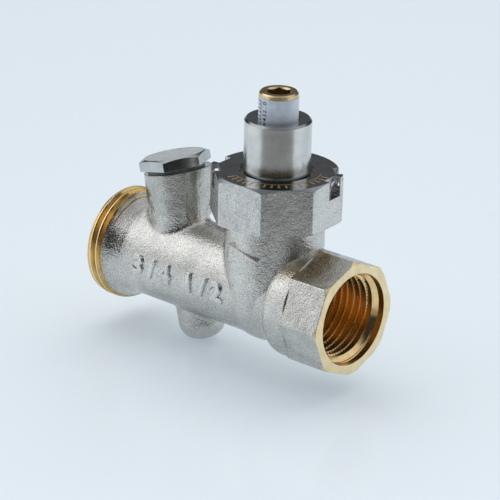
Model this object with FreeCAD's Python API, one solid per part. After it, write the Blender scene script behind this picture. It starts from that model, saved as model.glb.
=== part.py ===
import FreeCAD, Part
import math
import os

# Straight shut-off and regulating valve, turned from a hot-pressed brass body, all sizes in millimetres.
# The origin is the middle of the inlet's end face, X runs along the pipe to the outlet, Z up along the spindle.

# Clearances
threadGap = 0.05
slideGap = 0.05
glandGap = 0.1
scaleGap = 0.25
seatGap = 0.05
lugGap = 0.2
holderGap = 0.15

# Body, outside
barrelRadius = 10.7
inletThreadRadius = 13.22
inletThreadLength = 4.3
inletChamfer = 0.3
threadDepth = 0.52
collarLength = 6.4
collarFillet = 3.6
shoulderLength = 16.8
shoulderMargin = 0.3
octagonWall = 1.85
octagonLength = 10.6
octagonEdge = 0.4
outletFaceMargin = 0.45
neckTop = 24.4
neckFillet = 1.5
bossFillet = 1.5
nubFillet = 1.5

# Body, inside
outletThreadRadius = 9.32
outletEntryStep = 1.33
outletEntryDepth = 1.5
outletThreadEnd = 14.4
outletBackWall = 1.0
outletRunOut = 0.6
inletBoreRadius = 7.3
inletMouthRadius = 9.3
inletBoreLength = 17.0
lowerPassageRadius = 4.5
lowerPassageDrop = 4.8
upperPassageRadius = 4.2
upperPassageRise = 6.0
seatRadius = 5.0
seatLipWidth = 1.0
seatLipTop = 2.4
chamberFloor = 1.5

# Side boss with its plug, and the blind boss under the barrel
bossSetback = 11.5
bossSpacing = 25.0
bossLean = 14.0
bossHeight = 22.5
bossTopRadius = 7.6
bossFootRadius = 6.5
bossFootShift = 2.9
plugThreadRadius = 5.0
plugThreadDepth = 9.0
plugDrillRadius = 3.0
plugSealThickness = 0.9
plugSealRadius = 6.7
plugAcross = 14.6
plugHeadHeight = 2.6
plugTurn = 55.0
nubRadius = 5.5
nubShown = 7.2
nubRounding = 4.2

# Raised flow arrow on the neck
arrowLength = 8.2
arrowHeight = 4.4
arrowLevel = 11.6
arrowProud = 0.3
arrowShift = 0.35

# Union nut
nutWall = 2.75
nutHeight = 10.85
nutEdge = 0.4
nutWeb = 2.5
nutTurn = 28.25
nutTopMargin = 0.15
nutChamferDrop = 0.75
earWeb = 2.4
earPocketWidth = 4.2
earPocketDepth = 1.5
earPocketHeight = 4.4
earHoleRadius = 0.9
earHoleInset = 1.55
earHoleDrop = 1.9

# Bonnet insert, the turned sleeve that carries the spindle
sleeveChamfer = 0.45
sleeveWall = 2.8
flangeThickness = 1.6
flangeStep = 1.3
flangeLedge = 2.35
sleeveGap = 0.65
gasketThickness = 0.5
gasketWidth = 1.7
slipRingThickness = 0.4
skirtDepth = 6.2
skirtHeight = 5.7
skirtWall = 1.9
insertThreadLength = 7.1
upperBoreDepth = 6.0
keywayWidth = 2.6
keywayDepth = 1.25

# Spindle and scale ring, at the lift shown
restLift = 3.0
fullLift = 4.0
headHeight = 1.05
scaleShown = 5.2
scaleStep = 0.5
scaleSlit = 0.5
waistDepth = 0.9
spindleShankRadius = 3.45
spindleThreadHeight = 0.55
footNeckRadius = 1.8
footRadius = 2.6
footThickness = 1.2
keyAcross = 5.0
keyDepth = 4.5

# Disc assembly that closes the seat
holderTopGap = 1.2
holderPlateMargin = 1.2
holderPlateThickness = 1.95
cupFloor = 3.05
discSealThickness = 1.8
discSealMargin = 0.2
coneHubRadius = 2.9
coneRadius = 4.7
coneTipRadius = 3.8
coneHeight = 3.4
discScrewRadius = 2.0
lockWasherThickness = 0.6
screwHeadRadius = 3.0
screwHeadHeight = 1.6
clipThickness = 0.7
clipRadius = 3.6
slipWasherThickness = 0.5

# Rings of round section, by the width of the groove that they fill
bodyRingSection = 1.6
bodyRingGroove = 1.25
bodyRingLand = 1.0
spindleRingSection = 1.3
spindleRingGroove = 1.0
spindleRingLand = 0.85

# Widths of the outlet end, from its thread outwards
outletEntryRadius = outletThreadRadius + outletEntryStep
octagonAcross = 2 * (outletEntryRadius + octagonWall)
outletFaceRadius = octagonAcross / 2 + outletFaceMargin
shoulderRadius = octagonAcross / 2 + shoulderMargin

# Widths about the spindle, from its shank outwards to the nut's flats
glandRadius = spindleShankRadius + glandGap
spindleThreadRadius = spindleShankRadius + spindleThreadHeight
spindleWaistRadius = spindleThreadRadius - waistDepth
scaleRadius = spindleThreadRadius + scaleStep
upperBoreRadius = scaleRadius + scaleGap
sleeveRadius = upperBoreRadius + sleeveWall
nutHoleRadius = sleeveRadius + sleeveGap
flangeRadius = sleeveRadius + flangeLedge
neckRadius = flangeRadius + flangeStep
nutAcross = 2 * (neckRadius + threadGap + nutWall)
nutTopRadius = nutAcross / 2 - nutTopMargin

# Widths inside the neck, from its bore inwards
chamberRadius = flangeRadius - gasketWidth
skirtBoreRadius = chamberRadius - skirtWall
holderRadius = skirtBoreRadius - holderGap
holderPlateRadius = chamberRadius - holderPlateMargin
discSealRadius = holderPlateRadius - discSealMargin
seatRoomRadius = holderPlateRadius + 0.5

# Places along the pipe, from the inlet's face to the outlet's
collarRadius = inletThreadRadius - threadDepth
bossAt = collarLength + collarFillet + bossSetback
spindleAt = bossAt + bossSpacing
faceToFace = spindleAt + seatRoomRadius + outletBackWall + outletRunOut + outletThreadEnd
shoulderAt = faceToFace - shoulderLength
nubLength = barrelRadius + nubShown

# Levels that follow from the neck's top, where the insert's flange is clamped
flangeBottom = neckTop + gasketThickness
flangeTop = flangeBottom + flangeThickness
nutTop = flangeTop + slipRingThickness + nutWeb
nutBottom = nutTop - nutHeight
skirtTop = neckTop - skirtDepth
insertBottom = skirtTop - skirtHeight
lowestRing = skirtTop + restLift + 0.3
ringPitch = spindleRingSection + spindleRingLand
glandTop = lowestRing + 2 * ringPitch + spindleRingSection + fullLift - restLift + 0.3
insertThreadTop = glandTop + insertThreadLength
sleeveTop = insertThreadTop + upperBoreDepth
scaleTop = sleeveTop + scaleShown
spindleTop = scaleTop + headHeight

# The spindle's thread stays above the gland, and the scale ring above the insert's thread, when it is fully down
threadFrom = glandTop + restLift + 0.6
collarAt = insertThreadTop + restLift + 0.1

# Levels of the disc assembly: the foot, its clip and washer under the shank, the seal above the seat
holderTop = skirtTop - holderTopGap
clipBottom = holderTop - 0.5 - clipThickness
footBottom = clipBottom - footThickness
cupBottom = footBottom - slipWasherThickness
discSealBottom = seatLipTop + restLift + seatGap
plateBottom = discSealBottom + discSealThickness
washerTop = discSealBottom - coneHeight
screwHeadTop = washerTop - lockWasherThickness
screwTip = cupBottom - cupFloor


def vec(x, y, z):
    return FreeCAD.Vector(x, y, z)


def turned(profile):
    # A closed outline of (radius, height) points, turned about the spindle axis
    points = [vec(r, 0, z) for r, z in profile]
    face = Part.Face(Part.makePolygon(points + points[:1]))
    return face.revolve(vec(0, 0, 0), vec(0, 0, 1), 360)


def ring(inner, outer, bottom, top):
    return turned([(inner, bottom), (outer, bottom), (outer, top), (inner, top)])


def disc(radius, bottom, top):
    return Part.makeCylinder(radius, top - bottom, vec(0, 0, bottom))


def rod(radius, start, end):
    return Part.makeCylinder(radius, (end - start).Length, start, end - start)


def prism(sides, across, bottom, top, turn):
    corner = across / 2 / math.cos(math.pi / sides)
    angles = [math.radians(turn) + 2 * math.pi * k / sides for k in range(sides)]
    points = [vec(corner * math.cos(a), corner * math.sin(a), bottom) for a in angles]
    face = Part.Face(Part.makePolygon(points + points[:1]))
    return face.extrude(vec(0, 0, top - bottom))


def edgesRounded(shape, radius):
    # Softens the upright edges of a prism, as forging leaves them
    upright = [e for e in shape.Edges if e.BoundBox.ZLength > e.BoundBox.XLength + e.BoundBox.YLength]
    return shape.makeFillet(radius, upright)


def block(length, width, height, bottom):
    # A box centred on the axis, standing on the given level
    return Part.makeBox(length, width, height, vec(-length / 2, -width / 2, bottom))


def alongPipe(shape):
    # Lays a shape made about Z down along the pipe, so that its heights become distances from the inlet face
    placed = shape.copy()
    placed.rotate(vec(0, 0, 0), vec(0, 1, 0), 90)
    return placed


def onSpindle(shape):
    placed = shape.copy()
    placed.translate(vec(spindleAt, 0, 0))
    return placed


def onBoss(shape):
    placed = shape.copy()
    placed.rotate(vec(0, 0, 0), vec(0, 1, 0), -bossLean)
    placed.translate(vec(bossAt, 0, 0))
    return placed


def barrel():
    # Thread, collar with its concave fillet, then the barrel, as one turned outline
    outline = [
        (0, 0),
        (inletThreadRadius - inletChamfer, 0),
        (inletThreadRadius, inletChamfer),
        (inletThreadRadius, inletThreadLength),
        (collarRadius, inletThreadLength + threadDepth / 2),
        (collarRadius, collarLength),
    ]
    for k in range(1, 7):
        turn = math.radians(15 * k)
        radius = collarRadius - (collarRadius - barrelRadius) * math.sin(turn)
        outline.append((radius, collarLength + collarFillet * (1 - math.cos(turn))))
    end = faceToFace - octagonLength + 0.5
    outline += [(barrelRadius, end), (0, end)]
    return alongPipe(turned(outline))


def shoulder():
    # Round step from the barrel up to the octagon end
    rise = shoulderRadius - barrelRadius
    return alongPipe(turned([
        (0, shoulderAt - 0.5),
        (barrelRadius, shoulderAt - 0.5),
        (barrelRadius + 0.2 * rise, shoulderAt - 0.1),
        (barrelRadius + 0.65 * rise, shoulderAt + 0.4),
        (barrelRadius + 0.9 * rise, shoulderAt + 1.1),
        (shoulderRadius, shoulderAt + 2.3),
        (shoulderRadius, faceToFace - octagonLength + 0.5),
        (0, faceToFace - octagonLength + 0.5),
    ]))


def octagonEnd():
    # Eight flats for the spanner, with the corners turned away at the face
    start = faceToFace - octagonLength
    corner = octagonAcross / 2 / math.cos(math.pi / 8)
    bevel = (corner - outletFaceRadius) * 1.4
    flats = edgesRounded(prism(8, octagonAcross, start, faceToFace, 0), octagonEdge)
    turnedEnd = turned([
        (0, start),
        (corner + 1, start),
        (corner + 1, faceToFace - bevel - 1.4),
        (outletFaceRadius, faceToFace),
        (0, faceToFace),
    ])
    return alongPipe(flats.common(turnedEnd))


def sideBoss():
    # Boss for the plug: its top is square to the leaning bore, its foot stands more upright
    lean = math.radians(bossLean)
    top = vec(bossAt - bossHeight * math.sin(lean), 0, bossHeight * math.cos(lean))
    foot = vec(bossAt - bossFootShift, 0, 0)
    upper = Part.Wire(Part.makeCircle(bossTopRadius, top, vec(-math.sin(lean), 0, math.cos(lean))))
    lower = Part.Wire(Part.makeCircle(bossFootRadius, foot, vec(-math.sin(lean), 0, math.cos(lean))))
    return Part.makeLoft([lower, upper], True, True)


def blindBoss():
    # Rounded blank under the barrel, in line with the side boss
    pin = Part.makeCylinder(nubRadius, nubLength, vec(0, 0, -nubLength))
    rim = [e for e in pin.Edges if abs(e.BoundBox.ZMax + nubLength) < 0.01]
    return onBoss(pin.makeFillet(nubRounding, rim))


def flowArrow():
    # Flat triangle on the front of the neck, pointing from inlet to outlet
    face = -neckRadius - arrowProud
    back = spindleAt + arrowShift - arrowLength / 2
    points = [
        vec(back, face, arrowLevel - arrowHeight / 2),
        vec(back, face, arrowLevel + arrowHeight / 2),
        vec(back + arrowLength, face, arrowLevel),
    ]
    plate = Part.Face(Part.makePolygon(points + points[:1]))
    return plate.extrude(vec(0, 3.0, 0))


def inletBore():
    # Cone seat at the mouth, then the straight bore, ending in a drill point
    point = inletBoreRadius * 0.5
    return alongPipe(turned([
        (0, -1),
        (inletMouthRadius + 0.3, -1),
        (inletMouthRadius, 0),
        (inletBoreRadius, (inletMouthRadius - inletBoreRadius) * 3.7),
        (inletBoreRadius, inletBoreLength),
        (0, inletBoreLength + point),
    ]))


def outletBore():
    # Entry bore, short cone, thread, and a drill point behind it
    coneEnd = faceToFace - outletEntryDepth - (outletEntryRadius - outletThreadRadius)
    return alongPipe(turned([
        (0, faceToFace + 1),
        (outletEntryRadius, faceToFace + 1),
        (outletEntryRadius, faceToFace - outletEntryDepth),
        (outletThreadRadius, coneEnd),
        (outletThreadRadius, faceToFace - outletThreadEnd),
        (outletThreadRadius - 1.5, faceToFace - outletThreadEnd - outletRunOut),
        (0, faceToFace - outletThreadEnd - outletRunOut),
    ]))


def seatAndPassages():
    # Water runs low from the inlet, up through the seat, and high out of the chamber to the outlet
    low = rod(
        lowerPassageRadius,
        vec(inletBoreLength - 3, 0, -lowerPassageDrop),
        vec(spindleAt + seatRadius + 0.2, 0, -lowerPassageDrop),
    )
    seat = onSpindle(disc(seatRadius, -lowerPassageDrop, seatLipTop + 1))
    room = disc(seatRoomRadius, chamberFloor, insertBottom)
    lip = ring(seatRadius, seatRadius + seatLipWidth, chamberFloor - 0.5, seatLipTop)
    bore = disc(chamberRadius, insertBottom - 0.3, neckTop + 1)
    chamber = onSpindle(room.cut(lip).fuse(bore))
    high = rod(
        upperPassageRadius,
        vec(spindleAt, 0, upperPassageRise),
        vec(faceToFace - outletThreadEnd + 1, 0, upperPassageRise),
    )
    return [low, seat, chamber, high]


def plugBore():
    thread = disc(plugThreadRadius, bossHeight - plugThreadDepth, bossHeight + 1)
    drill = disc(plugDrillRadius, -lowerPassageDrop, bossHeight)
    return [onBoss(thread), onBoss(drill)]


def blended(casting, added, radius, lowest):
    # Joins a form to the casting and rounds the inside corner between them, above the level given
    joined = casting.fuse(added)
    corner = []
    for edge in joined.Edges:
        middle = Part.Vertex(edge.valueAt((edge.FirstParameter + edge.LastParameter) / 2))
        toCasting = middle.distToShape(casting.Shells[0])[0]
        toAdded = middle.distToShape(added.Shells[0])[0]
        if toCasting < 0.001 and toAdded < 0.001 and edge.BoundBox.ZMax > lowest:
            corner.append(edge)
    return joined.makeFillet(radius, corner)


def neck():
    # Rounded at its foot, where the pressing swells a little round the seat
    return onSpindle(disc(neckRadius, 0, neckTop).fuse(Part.makeSphere(neckRadius)))


def valveBody():
    casting = blended(barrel(), blindBoss(), nubFillet, -faceToFace)
    casting = blended(casting, sideBoss(), bossFillet, 0)
    casting = blended(casting, neck(), neckFillet, barrelRadius / 2)
    casting = casting.fuse([shoulder(), octagonEnd(), flowArrow()])
    cuts = [inletBore(), outletBore()] + seatAndPassages() + plugBore()
    return casting.cut(cuts[0].fuse(cuts[1:])).removeSplitter()


def drainPlug():
    # Hexagon head with turned corners on a short threaded shank
    headBottom = bossHeight + plugSealThickness
    headTop = headBottom + plugHeadHeight
    corner = plugAcross / 2 / math.cos(math.pi / 6)
    head = prism(6, plugAcross, headBottom, headTop, plugTurn)
    crown = turned([
        (0, headBottom),
        (corner + 1, headBottom),
        (corner + 1, headTop - 0.6 - 0.45),
        (plugAcross / 2 - 0.35, headTop),
        (0, headTop),
    ])
    shank = turned([
        (0, bossHeight - plugThreadDepth + 1.5),
        (plugThreadRadius - threadGap - 0.7, bossHeight - plugThreadDepth + 1.5),
        (plugThreadRadius - threadGap, bossHeight - plugThreadDepth + 2.2),
        (plugThreadRadius - threadGap, headBottom),
        (0, headBottom),
    ])
    return onBoss(head.common(crown).fuse(shank))


def plugSeal():
    return onBoss(ring(plugThreadRadius, plugSealRadius, bossHeight, bossHeight + plugSealThickness))


def turnAbout(shape, degrees):
    placed = shape.copy()
    placed.rotate(vec(0, 0, 0), vec(0, 0, 1), degrees)
    return placed


def earCap(flats):
    # Material that keeps a wired corner sharp where the others are turned away
    corner = nutAcross / 2 / math.cos(math.pi / 8)
    width = earWeb + 1.2
    height = nutChamferDrop + 0.4
    cap = Part.makeBox(3, width, height, vec(corner - 3.2, -width / 2, nutTop - height))
    return turnAbout(cap, nutTurn).common(flats)


def earPockets():
    # A pocket on each side of the wired corner; each lies along its flat, half a web from the corner
    side = nutAcross * math.tan(math.pi / 8)
    start = side / 2 - earWeb / 2 - earPocketWidth
    pocket = Part.makeBox(earPocketDepth + 1, earPocketWidth, earPocketHeight + 1)
    pocket.translate(vec(nutAcross / 2 - earPocketDepth, start, nutTop - earPocketHeight))
    other = pocket.mirror(vec(0, 0, 0), vec(0, 1, 0))
    halfSide = 180 / 8
    return [turnAbout(pocket, nutTurn - halfSide), turnAbout(other, nutTurn + halfSide)]


def wireHole():
    corner = nutAcross / 2 / math.cos(math.pi / 8)
    reach = earWeb + 2 * earPocketDepth
    start = vec(corner - earHoleInset, -reach / 2, nutTop - earHoleDrop)
    return turnAbout(Part.makeCylinder(earHoleRadius, reach, start, vec(0, 1, 0)), nutTurn)


def unionNut():
    # Octagon nut with two wired corners: pockets on both sides of each, and a cross hole through the web
    corner = nutAcross / 2 / math.cos(math.pi / 8)
    flats = edgesRounded(prism(8, nutAcross, nutBottom, nutTop, nutTurn), nutEdge)
    crown = turned([
        (0, nutBottom),
        (corner - 0.4, nutBottom),
        (corner, nutBottom + 0.3),
        (corner, nutTop - nutChamferDrop),
        (nutTopRadius, nutTop),
        (0, nutTop),
    ])
    nut = flats.common(crown)
    for half in (0, 180):
        nut = nut.fuse(turnAbout(earCap(flats), half))
        for cut in earPockets() + [wireHole()]:
            nut = nut.cut(turnAbout(cut, half))
    thread = neckRadius + threadGap
    inside = turned([
        (0, nutBottom - 1),
        (thread + 0.6, nutBottom - 1),
        (thread + 0.6, nutBottom),
        (thread, nutBottom + 0.6),
        (thread, nutTop - nutWeb),
        (nutHoleRadius, nutTop - nutWeb),
        (nutHoleRadius, nutTop - 0.3),
        (nutHoleRadius + 0.3, nutTop),
        (nutHoleRadius + 0.3, nutTop + 1),
        (0, nutTop + 1),
    ])
    return onSpindle(nut.cut(inside))


def neckGasket():
    return onSpindle(ring(chamberRadius, flangeRadius, neckTop, neckTop + gasketThickness))


def slipRing():
    return onSpindle(ring(sleeveRadius + 0.1, flangeRadius, flangeTop, nutTop - nutWeb))


def bodyRingLevels():
    return (skirtTop + 0.6, skirtTop + 0.6 + bodyRingSection + bodyRingLand)


def bonnetInsert():
    # Sleeve, clamping flange and pilot, bored for the spindle, with two grooves and two keyways
    pilot = chamberRadius - slideGap
    outer = turned([
        (0, insertBottom),
        (pilot - 0.3, insertBottom),
        (pilot, insertBottom + 0.3),
        (pilot, flangeBottom),
        (flangeRadius, flangeBottom),
        (flangeRadius, flangeTop),
        (sleeveRadius, flangeTop),
        (sleeveRadius, sleeveTop - sleeveChamfer),
        (sleeveRadius - sleeveChamfer, sleeveTop),
        (0, sleeveTop),
    ])
    inner = turned([
        (0, insertBottom - 1),
        (skirtBoreRadius, insertBottom - 1),
        (skirtBoreRadius, skirtTop),
        (glandRadius, skirtTop),
        (glandRadius, glandTop),
        (spindleThreadRadius + threadGap, glandTop),
        (spindleThreadRadius + threadGap, insertThreadTop),
        (upperBoreRadius, insertThreadTop),
        (upperBoreRadius, sleeveTop - 0.2),
        (upperBoreRadius + 0.2, sleeveTop),
        (upperBoreRadius + 0.2, sleeveTop + 1),
        (0, sleeveTop + 1),
    ])
    shape = outer.cut(inner)
    for level in bodyRingLevels():
        shape = shape.cut(ring(pilot - bodyRingGroove, pilot + 1, level, level + bodyRingSection))
    reach = 2 * (skirtBoreRadius + keywayDepth)
    keyway = block(reach, keywayWidth, skirtTop - insertBottom + 1, insertBottom - 1)
    return onSpindle(shape.cut(keyway))


def bodyRing(which):
    # Seal ring squeezed between its groove and the neck's bore
    level = bodyRingLevels()[which]
    inner = chamberRadius - slideGap - bodyRingGroove
    return onSpindle(roundRing(inner, chamberRadius, level, bodyRingSection))


def roundRing(inner, outer, bottom, height):
    # Section of a squeezed round ring: a rectangle with its corners taken off
    cut = min(outer - inner, height) * 0.28
    top = bottom + height
    return turned([
        (inner, bottom + cut),
        (inner + cut, bottom),
        (outer - cut, bottom),
        (outer, bottom + cut),
        (outer, top - cut),
        (outer - cut, top),
        (inner + cut, top),
        (inner, top - cut),
    ])


def spindleRingLevels():
    # Two seal rings and a guide ring between them, all inside the gland over the whole lift
    return [lowestRing + ringPitch * k for k in range(3)]


def spindle():
    # Head with a hexagon socket, waist for the scale ring, thread, smooth shank and the foot that lifts the disc
    footTop = footBottom + footThickness
    outline = [
        (0, footBottom),
        (footRadius, footBottom),
        (footRadius, footTop),
        (footNeckRadius, footTop),
        (footNeckRadius, skirtTop - 0.2),
        (spindleShankRadius - 0.3, skirtTop - 0.2),
        (spindleShankRadius, skirtTop + 0.1),
        (spindleShankRadius, threadFrom - 0.4),
        (spindleThreadRadius, threadFrom),
        (spindleThreadRadius, collarAt),
        (spindleWaistRadius, collarAt),
        (spindleWaistRadius, scaleTop),
        (scaleRadius - 0.1, scaleTop),
        (scaleRadius - 0.1, spindleTop - 0.35),
        (scaleRadius - 0.45, spindleTop),
        (0, spindleTop),
    ]
    shape = turned(outline)
    for level in spindleRingLevels():
        shape = shape.cut(ring(spindleShankRadius - spindleRingGroove, spindleShankRadius + 1, level, level + spindleRingSection))
    socket = prism(6, keyAcross, spindleTop - keyDepth, spindleTop + 1, 10)
    mouth = turned([
        (0, spindleTop - 0.35),
        (keyAcross / 2 + 0.1, spindleTop - 0.35),
        (keyAcross / 2 + 0.55, spindleTop + 0.1),
        (0, spindleTop + 0.1),
    ])
    return onSpindle(shape.cut(socket).cut(mouth))


def spindleRing(which):
    level = spindleRingLevels()[which]
    inner = spindleShankRadius - spindleRingGroove
    outer = glandRadius - 0.02
    if which == 1:
        return onSpindle(ring(inner, outer - 0.03, level, level + spindleRingSection))
    return onSpindle(roundRing(inner, outer, level, spindleRingSection))


def scaleRing():
    # Moulded collar, slit at the back so that it snaps round the spindle's waist
    collar = ring(spindleWaistRadius, scaleRadius, collarAt, scaleTop)
    slit = Part.makeBox(scaleSlit, scaleRadius + 1, scaleTop, vec(-scaleSlit / 2, 0, collarAt - 1))
    return onSpindle(collar.cut(slit))


def discHolder():
    # Guided piston with two side lugs; the spindle's foot turns in its upper bore
    bottom = plateBottom
    shape = turned([
        (0, bottom),
        (holderPlateRadius, bottom),
        (holderPlateRadius, bottom + holderPlateThickness),
        (holderRadius - 0.4, bottom + holderPlateThickness),
        (holderRadius, bottom + holderPlateThickness + 0.4),
        (holderRadius, holderTop),
        (0, holderTop),
    ])
    lugReach = 2 * (skirtBoreRadius + keywayDepth - lugGap)
    lug = block(lugReach, keywayWidth - 2 * lugGap, 1.6, holderTop - 1.6)
    shape = shape.fuse(lug)
    cup = disc(footRadius + 0.15, cupBottom, holderTop + 1)
    groove = disc(clipRadius, clipBottom, clipBottom + clipThickness)
    thread = disc(discScrewRadius + threadGap, bottom - 1, screwTip + 0.5)
    return onSpindle(shape.cut(cup).cut(groove).cut(thread))


def holderClip():
    # Open spring ring in the groove above the spindle's foot
    shape = ring(footNeckRadius + 0.3, clipRadius, clipBottom, clipBottom + clipThickness)
    gap = Part.makeBox(2 * footNeckRadius, clipRadius + 1, clipThickness + 2, vec(-footNeckRadius, 0, clipBottom - 1))
    return onSpindle(shape.cut(gap))


def slipWasher():
    return onSpindle(disc(footRadius + 0.05, cupBottom, footBottom))


def discSeal():
    return onSpindle(ring(coneHubRadius, discSealRadius, discSealBottom, plateBottom))


def regulatingCone():
    # Hub through the seal, and the tapered plug that dips into the seat
    top = discSealBottom
    bore = discScrewRadius + 0.1
    return onSpindle(turned([
        (bore, top - coneHeight),
        (coneTipRadius, top - coneHeight),
        (coneRadius, top - 0.9),
        (coneRadius, top),
        (coneHubRadius, top),
        (coneHubRadius, plateBottom),
        (bore, plateBottom),
    ]))


def lockWasher():
    return onSpindle(ring(discScrewRadius + 0.1, screwHeadRadius, screwHeadTop, washerTop))


def discScrew():
    # Slotted screw that clamps cone, seal and washer to the holder
    shape = disc(discScrewRadius, screwHeadTop, screwTip)
    shape = shape.fuse(disc(screwHeadRadius, screwHeadTop - screwHeadHeight, screwHeadTop))
    slot = block(2 * screwHeadRadius + 1, 0.8, 0.8, screwHeadTop - screwHeadHeight - 0.01)
    return onSpindle(shape.cut(slot))


pieces = {
    "valve_body": valveBody(),
    "drain_plug": drainPlug(),
    "plug_seal": plugSeal(),
    "union_nut": unionNut(),
    "slip_ring": slipRing(),
    "neck_gasket": neckGasket(),
    "bonnet_insert": bonnetInsert(),
    "insert_seal_lower": bodyRing(0),
    "insert_seal_upper": bodyRing(1),
    "spindle": spindle(),
    "scale_ring": scaleRing(),
    "spindle_seal_lower": spindleRing(0),
    "spindle_guide_ring": spindleRing(1),
    "spindle_seal_upper": spindleRing(2),
    "disc_holder": discHolder(),
    "holder_clip": holderClip(),
    "slip_washer": slipWasher(),
    "disc_seal": discSeal(),
    "regulating_cone": regulatingCone(),
    "lock_washer": lockWasher(),
    "disc_screw": discScrew(),
}

os.makedirs("parts", exist_ok=True)
for name, shape in pieces.items():
    shape.exportStep("parts/" + name + ".step")
    box = shape.BoundBox
    print(name, shape.isValid(), len(shape.Solids), round(shape.Volume, 1), round(box.ZMin, 2), round(box.ZMax, 2))
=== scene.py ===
import math

import bmesh
import bpy
from mathutils import Matrix, Vector


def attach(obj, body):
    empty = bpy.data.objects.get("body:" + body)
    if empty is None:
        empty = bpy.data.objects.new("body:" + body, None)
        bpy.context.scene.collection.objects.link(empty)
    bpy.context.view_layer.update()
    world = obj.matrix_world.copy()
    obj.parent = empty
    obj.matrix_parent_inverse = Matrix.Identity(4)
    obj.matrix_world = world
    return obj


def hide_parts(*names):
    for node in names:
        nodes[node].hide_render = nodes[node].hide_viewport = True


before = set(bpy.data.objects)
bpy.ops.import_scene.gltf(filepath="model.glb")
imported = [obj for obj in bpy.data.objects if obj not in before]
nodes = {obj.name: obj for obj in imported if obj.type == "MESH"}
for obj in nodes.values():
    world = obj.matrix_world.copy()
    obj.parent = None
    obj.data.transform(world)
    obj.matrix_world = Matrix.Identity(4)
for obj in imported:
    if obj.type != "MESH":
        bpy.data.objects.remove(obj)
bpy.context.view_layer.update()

# Shut-off regulating valve: threads, raised numbers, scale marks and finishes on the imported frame.
# X runs along the pipe from the inlet's face, Z up along the spindle. Lengths here are millimetres and angles
# degrees; a mesh turns into metres when it is finished.
toMetres = 0.001


def linearColour(code):
    # Screen colour such as "C9A055" as the linear values that a shader takes
    channels = []
    for start in (0, 2, 4):
        value = int(code[start:start + 2], 16) / 255
        channels.append(value / 12.92 if value <= 0.04045 else ((value + 0.055) / 1.055) ** 2.4)
    return (*channels, 1.0)


def addNode(tree, kind, settings=None, links=None):
    node = tree.nodes.new(kind)
    for key, value in (settings or {}).items():
        if isinstance(key, int) or key in node.inputs:
            node.inputs[key].default_value = value
        else:
            setattr(node, key, value)
    for key, socket in (links or {}).items():
        tree.links.new(socket, node.inputs[key])
    return node


def emptyMaterial(name):
    material = bpy.data.materials.new(name)
    material.use_nodes = True
    material.node_tree.nodes.clear()
    return material


def objectMillimetres(tree, stretch=(1, 1, 1)):
    # Place on the object in millimetres, so that every pattern's scale is a real size
    coordinates = addNode(tree, "ShaderNodeTexCoord")
    size = tuple(value / toMetres for value in stretch)
    mapping = addNode(tree, "ShaderNodeMapping", {"Scale": size}, {"Vector": coordinates.outputs["Object"]})
    return mapping.outputs["Vector"]


def blend(tree, factor, first, second):
    # Colour between two linear colours or sockets
    mix = addNode(tree, "ShaderNodeMix", {"data_type": "RGBA"}, {0: factor})
    for index, value in ((6, first), (7, second)):
        if isinstance(value, tuple):
            mix.inputs[index].default_value = value
        else:
            tree.links.new(value, mix.inputs[index])
    return mix.outputs[2]


def spread(tree, value, low, high, fromLow=0.35, fromHigh=0.65):
    # Turns a noise value into a range of sizes or strengths
    node = addNode(
        tree, "ShaderNodeMapRange",
        {"From Min": fromLow, "From Max": fromHigh, "To Min": low, "To Max": high}, {"Value": value},
    )
    return node.outputs["Result"]


def noise(tree, place, perMillimetre, detail=2.0):
    settings = {"Scale": perMillimetre, "Detail": detail, "Roughness": 0.55}
    return addNode(tree, "ShaderNodeTexNoise", settings, {"Vector": place}).outputs["Fac"]


def bump(tree, height, depth, strength=1.0, under=None):
    # Normal over a relief of the given depth, laid on another normal where there is one
    links = {"Height": height}
    if under is not None:
        links["Normal"] = under
    node = addNode(tree, "ShaderNodeBump", {"Strength": strength, "Distance": depth * toMetres}, links)
    return node.outputs["Normal"]


def finishMaterial(tree, settings, links):
    shader = addNode(tree, "ShaderNodeBsdfPrincipled", settings, links)
    addNode(tree, "ShaderNodeOutputMaterial", {}, {"Surface": shader.outputs["BSDF"]})


def roundedEdges(tree, radius):
    # Normal that rounds the edges by a small radius, as plating and handling leave them
    node = addNode(tree, "ShaderNodeBevel", {"samples": 6, "Radius": radius * toMetres})
    return node.outputs["Normal"]


def pebbles(tree, place, perMillimetre):
    # Rounded grains that lie against each other, as shot leaves them
    settings = {"feature": "SMOOTH_F1", "Scale": perMillimetre, "Smoothness": 0.6}
    return addNode(tree, "ShaderNodeTexVoronoi", settings, {"Vector": place}).outputs["Distance"]


def blastedNickel(name, lightCode, darkCode, depth, smooth=0.19, rough=0.31):
    # Nickel plate over a blasted brass pressing: a pebbled grain that breaks reflections into light and dark
    # specks, over a slow swell of the surface. Dark specks are painted into the plate's colour as well:
    # painted shade in the grain.
    material = emptyMaterial(name)
    tree = material.node_tree
    place = objectMillimetres(tree)
    clouds = noise(tree, place, 0.22, 3.0)
    swell = noise(tree, place, 0.55, 2.0)
    grain = pebbles(tree, place, 2.7)
    pits = noise(tree, place, 4.6, 2.0)
    specks = noise(tree, place, 3.6, 1.0)
    plate = blend(tree, spread(tree, clouds, 0, 1), linearColour(lightCode), linearColour(darkCode))
    # Painted shade: random dark specks mixed into the plate's colour
    colour = blend(tree, spread(tree, specks, 0, 0.5, 0.45, 0.62), plate, linearColour("8A8A88"))
    normal = bump(tree, swell, 0.12, 1.0, roundedEdges(tree, 0.3))
    normal = bump(tree, grain, depth, 1.0, normal)
    normal = bump(tree, pits, depth * 0.6, 1.0, normal)
    finishMaterial(
        tree, {"Metallic": 1.0},
        {"Base Color": colour, "Roughness": spread(tree, pits, smooth, rough), "Normal": normal},
    )
    return material


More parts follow.
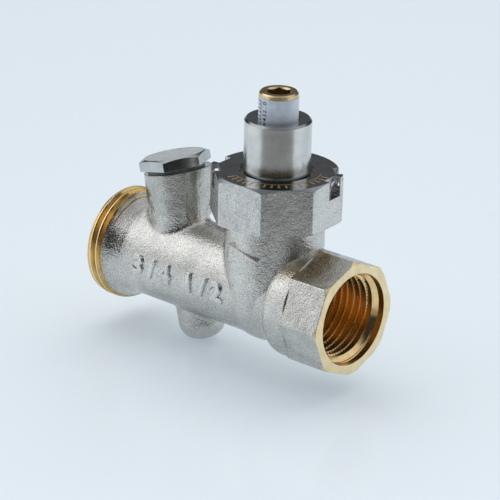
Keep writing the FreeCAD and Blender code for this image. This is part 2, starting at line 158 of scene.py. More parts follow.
def turnedNickel(name, lightCode, darkCode, smoothness, stretch, lineDepth):
    # Nickel plate over turned brass: smooth, with hair-fine tool lines round the axis that draw out the
    # highlights
    material = emptyMaterial(name)
    tree = material.node_tree
    lines = noise(tree, objectMillimetres(tree, stretch), 1.0, 3.0)
    clouds = noise(tree, objectMillimetres(tree), 0.3, 2.0)
    colour = blend(tree, spread(tree, clouds, 0, 1), linearColour(lightCode), linearColour(darkCode))
    normal = bump(tree, lines, lineDepth, 1.0, roundedEdges(tree, 0.08))
    finishMaterial(
        tree, {"Metallic": 1.0},
        {
            "Base Color": colour,
            "Roughness": spread(tree, lines, smoothness * 0.85, smoothness * 1.2),
            "Normal": normal,
        },
    )
    return material


def bareBrass(name, lightCode, darkCode, smoothness, stretch):
    # Brass left bare where the pressing was machined: warm gold, lightly tarnished, with tool marks
    material = emptyMaterial(name)
    tree = material.node_tree
    marks = noise(tree, objectMillimetres(tree, stretch), 1.0, 3.0)
    stains = noise(tree, objectMillimetres(tree), 0.5, 2.0)
    colour = blend(tree, spread(tree, stains, 0, 1), linearColour(lightCode), linearColour(darkCode))
    normal = bump(tree, marks, 0.006, 0.7, roundedEdges(tree, 0.12))
    finishMaterial(
        tree, {"Metallic": 1.0},
        {
            "Base Color": colour,
            "Roughness": spread(tree, stains, smoothness * 0.8, smoothness * 1.25),
            "Normal": normal,
        },
    )
    return material


def whiteScale():
    # Moulded acetal: cool white, a soft sheen and a faint orange-peel surface
    material = emptyMaterial("white_acetal")
    tree = material.node_tree
    place = objectMillimetres(tree)
    clouds = noise(tree, place, 0.6, 2.0)
    peel = noise(tree, place, 5.0, 2.0)
    colour = blend(tree, spread(tree, clouds, 0, 1), linearColour("DDE3EC"), linearColour("CFD7E4"))
    finishMaterial(
        tree, {"Subsurface Weight": 0.08, "Subsurface Scale": 0.0005},
        {
            "Base Color": colour,
            "Roughness": spread(tree, peel, 0.34, 0.44),
            "Normal": bump(tree, peel, 0.01, 0.5, roundedEdges(tree, 0.15)),
        },
    )
    return material


def plainMoulding(name, lightCode, darkCode, roughness, metallic=0.0):
    # Rubber, slip plastic, fibre, card or, when metallic, spring steel: even and slightly mottled
    material = emptyMaterial(name)
    tree = material.node_tree
    place = objectMillimetres(tree)
    mottle = noise(tree, place, 1.4, 3.0)
    colour = blend(tree, spread(tree, mottle, 0, 1), linearColour(lightCode), linearColour(darkCode))
    finishMaterial(
        tree, {"Metallic": metallic},
        {
            "Base Color": colour,
            "Roughness": spread(tree, mottle, roughness * 0.85, roughness * 1.15),
            "Normal": bump(tree, mottle, 0.01, 0.5),
        },
    )
    return material


def printedBlack():
    # Hot-stamped scale ink: dark, slightly worn through to grey
    material = emptyMaterial("scale_ink")
    tree = material.node_tree
    wear = noise(tree, objectMillimetres(tree), 4.0, 3.0)
    colour = blend(tree, spread(tree, wear, 0, 1), linearColour("1C2026"), linearColour("3A4048"))
    finishMaterial(tree, {"Roughness": 0.5}, {"Base Color": colour})
    return material


def laserMark():
    # Laser mark on nickel: the plate is burnt to a thin brownish oxide, uneven along its strokes
    material = emptyMaterial("laser_mark")
    tree = material.node_tree
    wear = noise(tree, objectMillimetres(tree), 2.5, 3.0)
    colour = blend(tree, spread(tree, wear, 0, 1), linearColour("BBA36A"), linearColour("8F7D55"))
    roughness = spread(tree, wear, 0.4, 0.55)
    finishMaterial(tree, {"Metallic": 0.6}, {"Base Color": colour, "Roughness": roughness})
    return material


finishes = {
    # Plate on the pressing: the coarsest grain, soft pale highlights full of specks
    "cast": blastedNickel("blasted_nickel", "DCDAD4", "CCCAC5", 0.062),
    # Plate on the side boss: a finer blast, so it mirrors the dark side of the room more plainly, and a
    # darker plate colour than the body's, painted shade
    "boss": blastedNickel("shaded_blasted_boss_nickel", "C8C6C0", "B6B4AF", 0.045, 0.13, 0.22),
    # Raised numbers: a brighter plate than round them, a painted highlight on the strokes
    "raised": blastedNickel("highlighted_numbers_nickel", "E4E4E0", "D6D6D2", 0.035),
    # Nut's flats: forged and blasted, a finer grain than the body's
    "flats": blastedNickel("forged_nickel", "DCDBD8", "CFCECB", 0.052),
    # Side of the sleeve: soft upright bands of light, faintly brushed round
    "sleeve": turnedNickel("turned_nickel", "D3D3D0", "C4C5C3", 0.19, (0.2, 0.2, 13.0), 0.011),
    # Faced ends: nearly a mirror, so they go as dark as the room above the far sweep.
    # Their plate is also darker and bluer than the side's: painted shade on the upward faces
    "crown": turnedNickel("shaded_faced_nickel", "BFC2C5", "B2B6BA", 0.13, (1.5, 1.5, 1.5), 0.003),
    # Chamfers: a darker plate colour on the edge between a face and its side, painted shade
    "chamfer": turnedNickel("shaded_chamfer_nickel", "9A9EA2", "8F9397", 0.15, (1.5, 1.5, 1.5), 0.003),
    # Hexagon plug: bright plate with hardly any tool marks
    "plug": turnedNickel("bright_nickel", "BEC0BF", "AEB1B2", 0.17, (1.2, 1.2, 1.2), 0.004),
    # Machined end faces: pale gold with fine rings, the softest sheen of the brass
    "faceBrass": bareBrass("turned_brass_face", "F0DDB5", "EAD5A8", 0.32, (0.6, 5.0, 5.0)),
    # Inlet thread: warmer and glossier, drawn out along its turns
    "threadBrass": bareBrass("thread_brass", "E2C283", "D5AE6C", 0.2, (6.0, 0.3, 0.3)),
    # Bores and outlet thread: a paler, brighter gold than the inlet thread, painted light for the light that
    # bounces from wall to wall and reddens it
    "boreBrass": bareBrass("bounce_lit_bore_brass", "F3D6A2", "EBC88E", 0.2, (6.0, 0.3, 0.3)),
    # Spindle's head and the inner brass: handled, a little browner
    "headBrass": bareBrass("spindle_brass", "E0CBA4", "D0B78B", 0.2, (3.0, 3.0, 1.0)),
    "acetal": whiteScale(),
    # Seal rings: matt black
    "rubber": plainMoulding("black_rubber", "17181A", "101113", 0.55),
    # Flat seal under the plug's head: a dull grey line in the gap
    "fibre": plainMoulding("fibre_seal", "7E8080", "6A6C6D", 0.5),
    # Cards that the metal mirrors: grey near the object, black beyond
    "greyCard": plainMoulding("grey_card", "949697", "909293", 0.7),
    "blackCard": plainMoulding("black_card", "2C2D2E", "28292A", 0.7),
    # Slip rings: off-white and waxy
    "slip": plainMoulding("slip_plastic", "E6E6E0", "DADAD2", 0.4),
    # Clip, washer and screw: a cool grey gleam
    "steel": plainMoulding("spring_steel", "B9BBBD", "9EA1A4", 0.25, 1.0),
    "ink": printedBlack(),
    "mark": laserMark(),
}
print("finishes done")


def finishedObject(name, mesh, materials, body):
    # Mesh already in metres and in place; its object stays at the origin
    for material in materials:
        mesh.materials.append(material)
    piece = bpy.data.objects.new(name, mesh)
    bpy.context.scene.collection.objects.link(piece)
    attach(piece, body)
    return piece


def smoothShaded(bm, limit=32):
    # Smooth faces with sharp edges wherever two faces meet at more than the limit
    for face in bm.faces:
        face.smooth = True
    for edge in bm.edges:
        edge.smooth = len(edge.link_faces) == 2 and edge.calc_face_angle(0) < math.radians(limit)


def ringOf(bm, profile, turn=Matrix.Identity(4)):
    # Closed loop of (along, radius) places in a plane through the pipe's axis
    ring = [bm.verts.new(turn @ Vector((along, radius, 0))) for along, radius in profile]
    return ring, [bm.edges.new((ring[k - 1], ring[k])) for k in range(len(ring))]


def meshFrom(bm, name):
    mesh = bpy.data.meshes.new(name)
    bm.to_mesh(mesh)
    bm.free()
    return mesh


helix = {"stepsPerTurn": 72, "liftOut": 1.35}


def fadeLift(at, turns, fadeIn, fadeOut):
    # How far the cutter has risen out of the work near its ends, from 0 to 1
    before = 1 - at / fadeIn if fadeIn else 0.0
    after = 1 - (turns - at) / fadeOut if fadeOut else 0.0
    return max(0.0, before, after)


def helixCutter(name, profile, startAt, startTurn, turns, pitch, fadeIn=0.0, fadeOut=0.0):
    # Solid ridge wound about the pipe's axis from startTurn, which counts from +Y towards +Z.
    # Over the fades, in turns, it rises out of the work, as a die's teeth do at the ends of a thread.
    steps = round(helix["stepsPerTurn"] * turns)
    bm = bmesh.new()
    turn = Matrix.Rotation(math.radians(startTurn), 4, "X")
    ring, edges = ringOf(bm, [(startAt + along, radius) for along, radius in profile], turn)
    bmesh.ops.spin(
        bm, geom=ring + edges, cent=(0, 0, 0), axis=(1, 0, 0),
        dvec=(pitch / helix["stepsPerTurn"], 0, 0), angle=2 * math.pi * turns, steps=steps, use_merge=False,
    )
    bm.verts.ensure_lookup_table()
    count = len(profile)
    loops = [bm.verts[k * count:(k + 1) * count] for k in range(steps + 1)]
    bm.faces.new(loops[0])
    bm.faces.new(list(reversed(loops[-1])))
    for index, loop in enumerate(loops):
        lift = fadeLift(index / helix["stepsPerTurn"], turns, fadeIn, fadeOut)
        for vertex in loop:
            reach = math.hypot(vertex.co.y, vertex.co.z)
            stretch = (reach + helix["liftOut"] * lift) / reach
            vertex.co.y *= stretch
            vertex.co.z *= stretch
    bmesh.ops.recalc_face_normals(bm, faces=bm.faces)
    bmesh.ops.scale(bm, vec=(toMetres,) * 3, verts=bm.verts)
    return meshFrom(bm, name)


def cutMesh(mesh, cutterMesh, material):
    # Mesh with the cutter taken out; the new faces take the cutter's material
    cutterMesh.materials.append(material)
    target = bpy.data.objects.new("target", mesh)
    cutter = bpy.data.objects.new("cutter", cutterMesh)
    for item in (target, cutter):
        bpy.context.scene.collection.objects.link(item)
    modifier = target.modifiers.new("cut", "BOOLEAN")
    modifier.operation = "DIFFERENCE"
    modifier.solver = "EXACT"
    modifier.object = cutter
    modifier.material_mode = "TRANSFER"
    graph = bpy.context.evaluated_depsgraph_get()
    result = bpy.data.meshes.new_from_object(target.evaluated_get(graph))
    for item in (target, cutter):
        bpy.data.objects.remove(item)
    return result


# Valve body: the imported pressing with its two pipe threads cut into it
threads = {
    "pitch": 1.814,
    "inletCrest": 13.22,
    "inletRoot": 12.2,
    "leadRoot": 12.93,
    "inletFrom": 0.89,
    "inletTurn": -40.0,
    "inletTurns": 1.94,
    "inletFades": (0.2, 0.15),
    "outletCrest": 9.32,
    "outletRoot": 10.46,
    "outletFrom": 55.9,
    "outletTurns": 7.6,
    "beyond": 1.0,
}

# Brass line that the plate leaves bare behind the inlet thread
bareLine = {
    "at": 5.15, "turn": 60.0, "turns": 0.3, "pitch": 0.6, "fades": (0.05, 0.08),
    "crest": 13.4, "root": 11.82, "mouthHalf": 0.5, "rootHalf": 0.09,
}

# Hollow slope behind the inlet thread, as (along, radius), and the reach of the ring that cuts it
collar = {
    "slope": [(4.6, 12.62), (5.0, 12.2), (5.6, 11.83), (6.5, 11.45), (7.6, 11.1), (8.8, 10.86), (9.4, 10.8)],
    "reach": 13.8,
    "steps": 120,
}

# Side boss: where its axis leaves the pipe's, its lean and height, and how much fuller it is towards the neck
boss = {
    "at": 21.5, "lean": 14.0, "from": 9.2, "height": 22.5, "bore": 6.3, "reach": 11.0,
    "fullerTop": 0.6, "fullerFoot": 1.9, "towards": (0.755, 0.656, 0), "riseOver": 1.5,
}


def grooveProfile(crest, root, pitch, beyond):
    # Groove between two crests with a blunt root, reaching past the crest into the air
    half = pitch * 0.42
    tip = pitch * 0.09
    outer = crest + beyond
    slope = (half - tip) / abs(crest - root)
    wide = half + slope * abs(beyond) * 0.15
    return [(-wide, outer), (-half, crest), (-tip, root), (tip, root), (half, crest), (wide, outer)]


def copyOfNode(name):
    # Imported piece's mesh with its doubled vertices merged
    bm = bmesh.new()
    bm.from_mesh(nodes[name].data)
    bmesh.ops.remove_doubles(bm, verts=bm.verts, dist=2e-6)
    bmesh.ops.recalc_face_normals(bm, faces=bm.faces)
    return meshFrom(bm, name + "_copy")


bodyZones = {
    "pipe": 15, "faceFrom": 69.9, "entryFrom": 67.5, "entryRadius": 12, "inletFaceTo": 0.3, "inletMouth": 7,
    "crestFrom": 0.35, "crestTo": 3.4, "crestRadius": 13.1, "brassTo": 4.45, "brassRadius": 11,
    "outletBoreFrom": 54, "outletBore": 10.8, "inletBoreTo": 20, "inletBore": 9.5,
    "bossTo": 31, "bossLevel": 12.2,
}


def bodyFinish(centre, normal):
    # Which finish a body face has: machined ends, crests and bores are bare brass, the rest is plated
    zones = bodyZones
    across = math.hypot(centre.y, centre.z)
    inward = normal.y * centre.y + normal.z * centre.z <= 0
    steep = abs(normal.x)
    if across < zones["pipe"] and centre.x > zones["faceFrom"]:
        return "faceBrass"
    if zones["entryRadius"] < across < zones["pipe"] and centre.x > zones["entryFrom"] and steep > 0.4:
        return "faceBrass"
    if centre.x < zones["inletFaceTo"] and across > zones["inletMouth"]:
        return "faceBrass"
    if zones["crestFrom"] < centre.x < zones["crestTo"] and across > zones["crestRadius"] and steep < 0.3:
        return "faceBrass"
    if centre.x < zones["brassTo"] and across > zones["brassRadius"]:
        return "threadBrass"
    if centre.x > zones["outletBoreFrom"] and across < zones["outletBore"] and inward:
        return "boreBrass"
    if centre.x < zones["inletBoreTo"] and across < zones["inletBore"] and inward:
        return "boreBrass"
    if centre.x < zones["bossTo"] and centre.z > zones["bossLevel"]:
        return "boss"
    return "cast"


def collarCutter():
    # Ring that takes the collar's square edge off, so that the thread runs out into a hollow slope
    slope = collar["slope"]
    bm = bmesh.new()
    ring, edges = ringOf(bm, [(slope[0][0], collar["reach"]), *slope, (slope[-1][0], collar["reach"])])
    bmesh.ops.spin(
        bm, geom=ring + edges, cent=(0, 0, 0), axis=(1, 0, 0),
        angle=2 * math.pi, steps=collar["steps"], use_merge=True,
    )
    bmesh.ops.recalc_face_normals(bm, faces=bm.faces)
    bmesh.ops.scale(bm, vec=(toMetres,) * 3, verts=bm.verts)
    return meshFrom(bm, "collar_cutter")


def fullerBoss(mesh):
    # The pressing is fuller on the side of the boss that faces the neck, most of all at its foot
    lean = math.radians(boss["lean"])
    towards = Vector(boss["towards"])
    for vertex in mesh.vertices:
        place = vertex.co / toMetres - Vector((boss["at"], 0, 0))
        along = -math.sin(lean) * place.x + math.cos(lean) * place.z
        across = Vector((math.cos(lean) * place.x + math.sin(lean) * place.z, place.y, 0))
        if boss["from"] < along < boss["height"] + 0.1 and boss["bore"] < across.length < boss["reach"]:
            rise = min(1.0, (along - boss["from"]) / boss["riseOver"])
            side = max(0.0, across.normalized().dot(towards))
            down = (boss["height"] - along) / (boss["height"] - boss["from"])
            fuller = boss["fullerTop"] + (boss["fullerFoot"] - boss["fullerTop"]) * down
            vertex.co += towards * fuller * side * rise * toMetres
    return mesh


def bodyMesh():
    # The slope is cut first, then the inlet thread, its shallow first turn, the bare line and the outlet
    # thread, so that each cut meets the shape that the one before it left
    pitch, beyond = threads["pitch"], threads["beyond"]
    mesh = fullerBoss(copyOfNode("valve_body"))
    mesh.materials.clear()
    mesh.materials.append(finishes["cast"])
    start, turn = threads["inletFrom"], threads["inletTurn"]
    inletProfile = grooveProfile(threads["inletCrest"], threads["inletRoot"], pitch, beyond)
    inlet = helixCutter(
        "inlet_cutter", inletProfile, start, turn, threads["inletTurns"], pitch, *threads["inletFades"],
    )
    leadProfile = grooveProfile(threads["inletCrest"], threads["leadRoot"], pitch, beyond)
    leadIn = helixCutter("lead_cutter", leadProfile, start - pitch, turn, 1.0, pitch)
    outletProfile = grooveProfile(threads["outletCrest"], threads["outletRoot"], pitch, -beyond)
    outlet = helixCutter(
        "outlet_cutter", outletProfile, threads["outletFrom"], 0.0, threads["outletTurns"], pitch,
    )
    crest, root = bareLine["crest"], bareLine["root"]
    wide, narrow = bareLine["mouthHalf"], bareLine["rootHalf"]
    line = helixCutter(
        "line_cutter", [(-wide, crest), (-narrow, root), (narrow, root), (wide, crest)],
        bareLine["at"], bareLine["turn"], bareLine["turns"], bareLine["pitch"], *bareLine["fades"],
    )
    for cutter, finish in (
        (collarCutter(), "cast"), (inlet, "threadBrass"), (leadIn, "threadBrass"),
        (line, "threadBrass"), (outlet, "boreBrass"),
    ):
        mesh = cutMesh(mesh, cutter, finishes[finish])
    return mesh


def painted(mesh, order, pick, kept=(), limit=32):
    # Gives each face its finish; faces cut by a thread keep the cutter's
    names = [material.name if material else "" for material in mesh.materials]
    held = {finishes[key].name: order.index(key) for key in kept}
    bm = bmesh.new()
    bm.from_mesh(mesh)
    bm.normal_update()
    indices = []
    for face in bm.faces:
        name = names[face.material_index] if face.material_index < len(names) else ""
        key = pick(face.calc_center_median() / toMetres, face.normal)
        indices.append(held.get(name, order.index(key)))
    smoothShaded(bm, limit)
    bm.to_mesh(mesh)
    bm.free()
    mesh.materials.clear()
    for key in order:
        mesh.materials.append(finishes[key])
    mesh.polygons.foreach_set("material_index", indices)
    mesh.update()
    return mesh


bodyOrder = ["cast", "boss", "faceBrass", "threadBrass", "boreBrass"]
bodyShell = painted(bodyMesh(), bodyOrder, bodyFinish, ["threadBrass", "boreBrass"])
body = finishedObject("valve_body_threaded", bodyShell, [], "valve")
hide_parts("valve_body")
print("body done", len(bodyShell.polygons))


# The nut, the sleeve and the plug stay sharp where faces meet at more than this
crispLimit = 20

# Union nut: forged flats, a faced top, and brass where its underside and thread were turned
nut = {"centre": 46.5, "bottom": 18.55, "top": 29.4, "inside": 12.2, "hole": 9.6, "underside": 0.35}


def nutFinish(centre, normal):
    # Which finish a face of the nut has, by its place and by how far it looks up or down
    across = math.hypot(centre.x - nut["centre"], centre.y)
    inward = normal.x * (centre.x - nut["centre"]) + normal.y * centre.y < 0
    if centre.z < nut["bottom"] + nut["underside"] and normal.z < -0.3:
        return "threadBrass"
    if nut["hole"] < across < nut["inside"] and inward and abs(normal.z) < 0.9:
        return "threadBrass"
    # Upward faces and chamfers take darker, bluer plates than the flats: painted shade
    if normal.z > 0.97:
        return "crown"
    if normal.z > 0.35:
        return "chamfer"
    return "flats"


nutOrder = ["flats", "crown", "chamfer", "threadBrass"]
nutShell = painted(copyOfNode("union_nut"), nutOrder, nutFinish, limit=crispLimit)
nutPiece = finishedObject("union_nut_finished", nutShell, [], "valve")
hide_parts("union_nut")
print("nut done")


# Turned sleeve and hexagon plug: their chamfers keep crisp edges, and the sleeve's end is faced smoother than
# its side. Above this level the sleeve is its end.
sleeveEndFrom = 39.0


def sleeveFinish(centre, normal):
    # Side, end face or chamfer of the sleeve
    if centre.z < sleeveEndFrom or normal.z < 0.3:
        return "sleeve"
    # End face and chamfer take darker plates than the side: painted shade
    return "crown" if normal.z > 0.97 else "chamfer"


def plugFinish(centre, normal):
    # The plug is one finish all over
    return "plug"


for name, order, pick in (
    ("bonnet_insert", ["sleeve", "crown", "chamfer"], sleeveFinish),
    ("drain_plug", ["plug"], plugFinish),
):
    shell = painted(copyOfNode(name), order, pick, limit=crispLimit)
    piece = finishedObject(name + "_finished", shell, [], "valve")
    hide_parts(name)
print("sleeve and plug done")


# Raised numbers on the front of the barrel: the two thread sizes, plain
numbers = {
    "height": 4.3, "proud": 0.5, "edge": 0.3, "spacing": 1.45, "wide": 1.15, "weight": 0.08,
    "barrel": 10.7, "level": 0.35, "longestEdge": 0.9,
    "places": (("number_inlet", "3/4", 18.4), ("number_outlet", "1/2", 34.2)),
}
capitalShare = 0.72


def textMesh(words, height, thickness, edge, spacing=1.0, weight=0.0):
    # Flat words of the given height, centred on the origin and thickened to both sides
    curve = bpy.data.curves.new("words", "FONT")
    curve.body = words
    curve.size = height / capitalShare
    curve.align_x = "CENTER"
    curve.align_y = "CENTER"
    curve.space_character = spacing
    curve.offset = weight
    curve.extrude = thickness
    curve.bevel_depth = edge
    curve.bevel_resolution = 2
    curve.resolution_u = 6
    holder = bpy.data.objects.new("words", curve)
    bpy.context.scene.collection.objects.link(holder)
    graph = bpy.context.evaluated_depsgraph_get()
    mesh = bpy.data.meshes.new_from_object(holder.evaluated_get(graph))
    bpy.data.objects.remove(holder)
    return mesh


def ontoBarrel(mesh, along, level, radius):
    # Wraps flat words round the front of the barrel
    bm = bmesh.new()
    bm.from_mesh(mesh)
    bmesh.ops.remove_doubles(bm, verts=bm.verts, dist=0.001)
    bmesh.ops.triangulate(bm, faces=bm.faces)
    for _ in range(2):
        long = [edge for edge in bm.edges if edge.calc_length() > numbers["longestEdge"]]
        bmesh.ops.subdivide_edges(bm, edges=long, cuts=1)
    for vertex in bm.verts:
        flat = vertex.co.copy()
        turn = (flat.y + level) / radius
        reach = radius + flat.z
        vertex.co = Vector((along + flat.x, -reach * math.cos(turn), reach * math.sin(turn))) * toMetres
    bmesh.ops.recalc_face_normals(bm, faces=bm.faces)
    smoothShaded(bm, 40)
    return meshFrom(bm, "raised")


for name, words, along in numbers["places"]:
    flat = textMesh(
        words, numbers["height"], numbers["proud"] - numbers["edge"], numbers["edge"],
        numbers["spacing"], numbers["weight"],
    )
    for vertex in flat.vertices:
        vertex.co.x *= numbers["wide"]
    wrapped = ontoBarrel(flat, along, numbers["level"], numbers["barrel"])
    finishedObject(name, wrapped, [finishes["raised"]], "valve")
print("numbers done")


# Scale printed on the white ring: plain rows of ticks and digits
scale = {
    "centre": 46.5, "radius": 4.5, "top": 46.1, "row": 0.88, "rows": 6,
    "ticks": -117.0, "longTick": 13, "shortTick": 8, "tickEnd": 9, "thick": 0.2, "spine": (7, 10),
    "digits": -92.0, "digitHeight": 1.15, "digitDepth": 0.02, "digitWeight": 0.02, "digitShift": 0.4,
    "digitRow": 1.05, "proud": 0.015, "sunk": 0.02, "stepAngle": 6,
}


def onRing(radius, turn, level):
    # Place in metres on the white ring, turn in radians
    around = (scale["centre"] + radius * math.cos(turn), radius * math.sin(turn), level)
    return Vector(around) * toMetres


def printedPatch(bm, fromTurn, toTurn, low, high):
    # Thin strip of ink that follows the ring
    steps = max(1, round(abs(toTurn - fromTurn) / scale["stepAngle"]))
    outer = scale["radius"] + scale["proud"]
    inner = scale["radius"] - scale["sunk"]
    previous = None
    for k in range(steps + 1):
        turn = math.radians(fromTurn + (toTurn - fromTurn) * k / steps)
        place = []
        for radius, level in ((inner, low), (outer, low), (outer, high), (inner, high)):
            place.append(bm.verts.new(onRing(radius, turn, level)))
        if previous:
            for a in range(4):
                b = (a + 1) % 4
                bm.faces.new((previous[a], previous[b], place[b], place[a]))
        else:
            bm.faces.new(place)
        previous = place
    bm.faces.new(list(reversed(previous)))


def scaleMarks():
    # Rows of ticks, long and short in turn, that end on an upright spine
    bm = bmesh.new()
    ticksAt, thick = scale["ticks"], scale["thick"]
    for row in range(scale["rows"]):
        level = scale["top"] - row * scale["row"]
        reach = scale["longTick"] if row % 2 == 0 else scale["shortTick"]
        printedPatch(bm, ticksAt - reach, ticksAt + scale["tickEnd"], level - thick, level)
    first, last = scale["spine"]
    lowest = scale["top"] - (scale["rows"] - 1) * scale["row"] - thick
    printedPatch(bm, ticksAt + first, ticksAt + last, lowest, scale["top"])
    bmesh.ops.recalc_face_normals(bm, faces=bm.faces)
    return meshFrom(bm, "scale_marks")


def scaleDigit(word, level):
    # A digit lying on its side beside its row, wrapped on the ring
    flat = textMesh(word, scale["digitHeight"], scale["digitDepth"], 0.0, 1.0, scale["digitWeight"])
    bm = bmesh.new()
    bm.from_mesh(flat)
    bmesh.ops.remove_doubles(bm, verts=bm.verts, dist=0.001)
    for vertex in bm.verts:
        side, up, out = -vertex.co.y, vertex.co.x, vertex.co.z
        turn = math.radians(scale["digits"]) + side / scale["radius"]
        vertex.co = onRing(scale["radius"] + out, turn, level + up)
    bmesh.ops.recalc_face_normals(bm, faces=bm.faces)
    return meshFrom(bm, "digit")


finishedObject("scale_marks", scaleMarks(), [finishes["ink"]], "spindle_set")
for row, word in enumerate("01234"):
    digit = scaleDigit(word, scale["top"] - (row + scale["digitShift"]) * scale["row"] * scale["digitRow"])
    finishedObject("scale_digit_" + word, digit, [finishes["ink"]], "spindle_set")
print("scale done")


# Plain index ticks marked round the nut's top
ticks = {
    "inner": 10.6, "outer": 12.3, "from": -112, "to": 24, "step": 8, "width": 2.4,
    "line": (10.05, 10.3), "lineStep": 6, "proud": 0.012, "sunk": 0.01,
}


def nutTicks():
    # Short bars that point to the middle, with a thin line round inside them
    bm = bmesh.new()
    low = nut["top"] - ticks["sunk"]
    high = nut["top"] + ticks["proud"]
    spans = []
    for turn in range(ticks["from"], ticks["to"], ticks["step"]):
        spans.append((turn, turn + ticks["width"], ticks["inner"], ticks["outer"]))
    for turn in range(ticks["from"], ticks["to"], ticks["lineStep"]):
        spans.append((turn, turn + ticks["lineStep"], *ticks["line"]))
    for first, last, inner, outer in spans:
        corners = []
        for turn, radius in ((first, inner), (last, inner), (last, outer), (first, outer)):
            angle = math.radians(turn)
            corners.append((nut["centre"] + radius * math.cos(angle), radius * math.sin(angle)))
        under = [bm.verts.new(Vector((x, y, low)) * toMetres) for x, y in corners]
        above = [bm.verts.new(Vector((x, y, high)) * toMetres) for x, y in corners]
        bm.faces.new(above)
        bm.faces.new(list(reversed(under)))
        for a in range(4):
            b = (a + 1) % 4
            bm.faces.new((under[a], under[b], above[b], above[a]))
    bmesh.ops.remove_doubles(bm, verts=bm.verts, dist=1e-7)
    bmesh.ops.recalc_face_normals(bm, faces=bm.faces)
    return meshFrom(bm, "nut_ticks")


finishedObject("nut_ticks", nutTicks(), [finishes["mark"]], "valve")
print("nut ticks done")


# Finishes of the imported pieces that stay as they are
nodeFinish = {
    "spindle": "headBrass",
    "scale_ring": "acetal",
    "plug_seal": "fibre",
    "neck_gasket": "rubber",
    "slip_ring": "slip",
    "insert_seal_lower": "rubber",
    "insert_seal_upper": "rubber",
    "spindle_seal_lower": "rubber",
    "spindle_guide_ring": "slip",
    "spindle_seal_upper": "rubber",
    "disc_holder": "headBrass",
    "holder_clip": "steel",
    "slip_washer": "slip",
    "disc_seal": "rubber",
    "regulating_cone": "headBrass",
    "lock_washer": "steel",
    "disc_screw": "steel",
}
for name, finish in nodeFinish.items():
    for slot in nodes[name].material_slots:
        slot.link = "OBJECT"
        slot.material = finishes[finish]
print("packed pieces done")


# Floor, light and camera. The floor's size and the cards' reaches are metres, as they belong to the room.
stage = {
    "level": -17.9, "size": 6.0, "sun": 2.2, "soft": 80.0, "glow": 0.39, "sunFrom": (-0.42, 0.55, 0.95),
    "cardLift": 0.0002, "cardFrom": 0.07, "cardHalf": 0.1, "cardSpread": 1.07,
}
view = {
    "azimuth": 41.0, "elevation": 21.43, "roll": 1.35, "distance": 600.0,
    "focal": 2640.1, "target": (39.13, 0.0, 8.03), "picture": 500, "sensor": 36.0,
}


def floorMaterial():
    # Pale blue-grey acrylic light table: lit from below as well, so that shadows on it stay pale
    material = emptyMaterial("studio_floor")
    tree = material.node_tree
    clouds = noise(tree, objectMillimetres(tree), 0.004, 1.0)
    colour = blend(tree, spread(tree, clouds, 0, 1), linearColour("B2B7BC"), linearColour("B0B5BA"))
    finishMaterial(
        tree,
        {
            "Roughness": 0.2, "Specular IOR Level": 0.2,
            "Emission Color": linearColour("D9E8F2"), "Emission Strength": stage["glow"],
        },
        {"Base Color": colour},
    )
    return material


def buildFloor():
    half = stage["size"] / 2
    level = stage["level"] * toMetres
    mesh = bpy.data.meshes.new("floor")
    corners = [(-half, -half, level), (half, -half, level), (half, half, level), (-half, half, level)]
    mesh.from_pydata(corners, [], [(0, 1, 2, 3)])
    mesh.materials.append(floorMaterial())
    floor = bpy.data.objects.new("floor", mesh)
    bpy.context.scene.collection.objects.link(floor)


def buildCard(name, near, far, finish):
    # Card lying before the object, widening away from it: only the metal sees it, as a dark band down its
    # round parts
    around = math.radians(view["azimuth"])
    front = Vector((math.sin(around), -math.cos(around), 0))
    side = Vector((math.cos(around), math.sin(around), 0))
    middle = Vector((view["target"][0] * toMetres, 0, stage["level"] * toMetres + stage["cardLift"]))
    narrow, wide = (
        stage["cardHalf"] + stage["cardSpread"] * (reach - stage["cardFrom"]) for reach in (near, far)
    )
    corners = [middle + front * near - side * narrow, middle + front * near + side * narrow]
    corners += [middle + front * far + side * wide, middle + front * far - side * wide]
    mesh = bpy.data.meshes.new(name)
    mesh.from_pydata(corners, [], [(0, 1, 2, 3)])
    mesh.materials.append(finishes[finish])
    card = bpy.data.objects.new(name, mesh)
    bpy.context.scene.collection.objects.link(card)
    for kind in ("visible_camera", "visible_diffuse", "visible_shadow"):
        setattr(card, kind, False)


def buildSun():
    # One very broad soft light from behind and above, so that the shadow falls forwards and blurs
    data = bpy.data.lights.new("sky", "SUN")
    data.energy = stage["sun"]
    data.angle = math.radians(stage["soft"])
    data.color = linearColour("FFFDFA")[:3]
    lamp = bpy.data.objects.new("sky", data)
    lamp.rotation_euler = Vector(stage["sunFrom"]).to_track_quat("Z", "Y").to_euler()
    lamp.visible_glossy = False
    bpy.context.scene.collection.objects.link(lamp)


def ramp(tree, value, start, end, fromLevel, toLevel):
    # Soft step between two levels
    node = addNode(
        tree, "ShaderNodeMapRange",
        {
            "interpolation_type": "SMOOTHSTEP", "From Min": start, "From Max": end,
            "To Min": fromLevel, "To Max": toLevel,
        },
        {"Value": value},
    )
    return node.outputs["Result"]


def product(tree, first, second):
    node = addNode(tree, "ShaderNodeMath", {"operation": "MULTIPLY"}, {0: first, 1: second})
    return node.outputs[0]


def facing(tree, direction, azimuth, elevation=0.0):
    # Cosine between a direction and a side of the room
    around = math.radians(azimuth)
    above = math.radians(elevation)
    level = math.cos(above)
    side = Vector((math.cos(around) * level, math.sin(around) * level, math.sin(above)))
    node = addNode(tree, "ShaderNodeVectorMath", {"operation": "DOT_PRODUCT", 1: side}, {0: direction})
    return node.outputs["Value"]


# Sides of the studio by azimuth from +X, with the cosines or heights between which each sets in
room = {
    "frontSide": -51, "frontEdge": (0.42, 0.56), "frontTop": (0.55, 0.8), "frontLight": 0.03,
    "backSide": 128, "backEdge": (0.35, 0.75), "backBottom": (-0.05, 0.15), "backTop": (0.45, 0.65),
    "backLight": 0.13,
    "softbox": (-150, 42), "softboxEdge": (0.8, 0.95), "softboxLight": (0.86, 1.5),
    "zenithEdge": (0.8, 0.97), "zenithLight": 0.5,
}


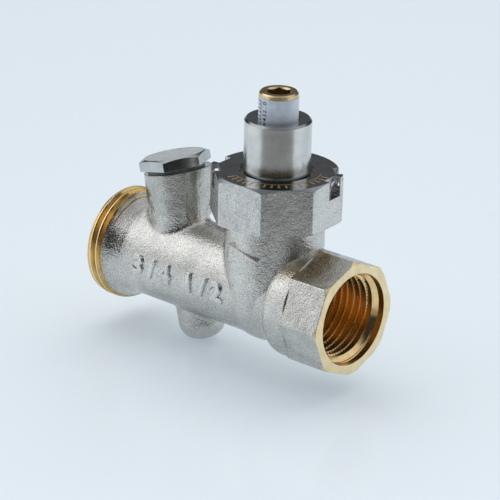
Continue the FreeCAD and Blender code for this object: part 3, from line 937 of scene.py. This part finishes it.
def buildWorld():
    # Studio seen in the metal: dark behind the camera, dark above the far sweep, soft light left, right and
    # above. The camera itself sees an even pale wall.
    world = bpy.data.worlds.new("studio")
    world.use_nodes = True
    tree = world.node_tree
    tree.nodes.clear()
    direction = addNode(tree, "ShaderNodeTexCoord").outputs["Generated"]
    height = addNode(tree, "ShaderNodeSeparateXYZ", {}, {"Vector": direction}).outputs["Z"]
    flat = addNode(tree, "ShaderNodeVectorMath", {"operation": "MULTIPLY", 1: (1, 1, 0)}, {0: direction})
    unit = addNode(tree, "ShaderNodeVectorMath", {"operation": "NORMALIZE"}, {0: flat.outputs[0]})
    level = unit.outputs[0]
    frontPart = ramp(tree, facing(tree, level, room["frontSide"]), *room["frontEdge"], 0, 1)
    front = product(tree, frontPart, ramp(tree, height, *room["frontTop"], 1, 0))
    backPart = ramp(tree, facing(tree, level, room["backSide"]), *room["backEdge"], 0, 1)
    back = product(tree, backPart, ramp(tree, height, *room["backBottom"], 0, 1))
    back = product(tree, back, ramp(tree, height, *room["backTop"], 1, 0))
    frontShade = ramp(tree, front, 0, 1, 1.0, room["frontLight"])
    backShade = ramp(tree, back, 0, 1, 1.0, room["backLight"])
    softboxFacing = facing(tree, direction, *room["softbox"])
    softbox = ramp(tree, softboxFacing, *room["softboxEdge"], *room["softboxLight"])
    zenith = ramp(tree, height, *room["zenithEdge"], 1.0, room["zenithLight"])
    amount = product(tree, product(tree, product(tree, frontShade, backShade), softbox), zenith)
    studio = addNode(tree, "ShaderNodeBackground", {"Color": linearColour("F6F9FC")}, {"Strength": amount})
    pale = addNode(tree, "ShaderNodeBackground", {"Color": linearColour("E2E9F1"), "Strength": 1.0})
    path = addNode(tree, "ShaderNodeLightPath")
    mix = addNode(
        tree, "ShaderNodeMixShader", {},
        {0: path.outputs["Is Camera Ray"], 1: studio.outputs[0], 2: pale.outputs[0]},
    )
    addNode(tree, "ShaderNodeOutputWorld", {}, {"Surface": mix.outputs[0]})
    bpy.context.scene.world = world


def buildCamera():
    # Camera at the photograph's place: distance and target are millimetres, focal is in pixels of the picture
    around = math.radians(view["azimuth"])
    above = math.radians(view["elevation"])
    roll = math.radians(view["roll"])
    level = math.cos(above)
    back = Vector((math.sin(around) * level, -math.cos(around) * level, math.sin(above)))
    right = Vector((math.cos(around), math.sin(around), 0))
    up = back.cross(right)
    turnedRight = math.cos(roll) * right + math.sin(roll) * up
    turnedUp = math.cos(roll) * up - math.sin(roll) * right
    data = bpy.data.cameras.new("camera")
    data.sensor_width = view["sensor"]
    data.lens = view["focal"] / view["picture"] * view["sensor"]
    data.clip_start = 0.01
    data.clip_end = 20
    camera = bpy.data.objects.new("camera", data)
    turn = Matrix((turnedRight, turnedUp, back)).transposed().to_4x4()
    place = (Vector(view["target"]) + view["distance"] * back) * toMetres
    camera.matrix_world = Matrix.Translation(place) @ turn
    bpy.context.scene.collection.objects.link(camera)
    bpy.context.scene.camera = camera


buildFloor()
buildCard("near_card", 0.07, 0.26, "greyCard")
buildCard("far_card", 0.26, 2.6, "blackCard")
buildWorld()
buildSun()
buildCamera()
bpy.context.scene.view_settings.view_transform = "Standard"
print("stage done")
